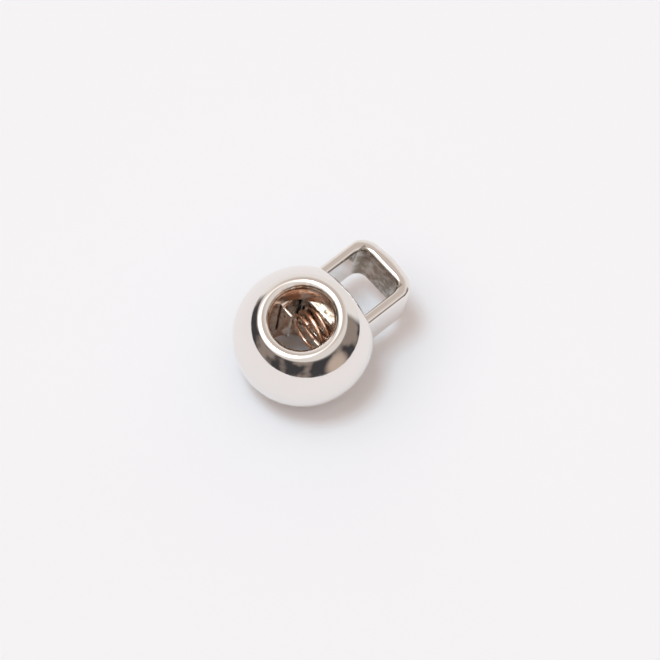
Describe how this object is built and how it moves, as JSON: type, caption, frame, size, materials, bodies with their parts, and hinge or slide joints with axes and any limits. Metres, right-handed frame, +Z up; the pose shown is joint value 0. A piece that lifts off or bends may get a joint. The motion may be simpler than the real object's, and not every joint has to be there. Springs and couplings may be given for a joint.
{
  "type": "cord lock",
  "caption": "Ball-shaped metal spring cord lock: a cord hole runs through the ball, and a spring-loaded slider ends in a rectangular eyelet.",
  "frame": {"origin": "where the cord hole's axis crosses the slider's axis", "axes": "+Z up along the cord hole, +X along the slider from the ball to the eyelet, +Y across the slider"},
  "size_m": [0.0202, 0.015, 0.0132],
  "materials": {
    "polished_plate": "polished nickel plate over cast zinc",
    "slider_plate": "tumbled nickel plate, slightly duller than the ball",
    "plug_plate": "nickel plate",
    "spring_wire": "copper-washed spring wire"
  },
  "bodies": {
    "housing": {"ball_housing": "polished_plate", "spring_plug": "plug_plate", "clamp_spring": "spring_wire"},
    "slider": {"eyelet_slider": "slider_plate"}
  },
  "joints": [
    {"name": "slider_pull", "type": "slide", "parent": "housing", "child": "slider", "axis": [1, 0, 0], "range_m": [0, 0.002], "stiffness_N_per_m": 1040, "springref_m": -0.0025, "deforming": ["clamp_spring"]}
  ]
}
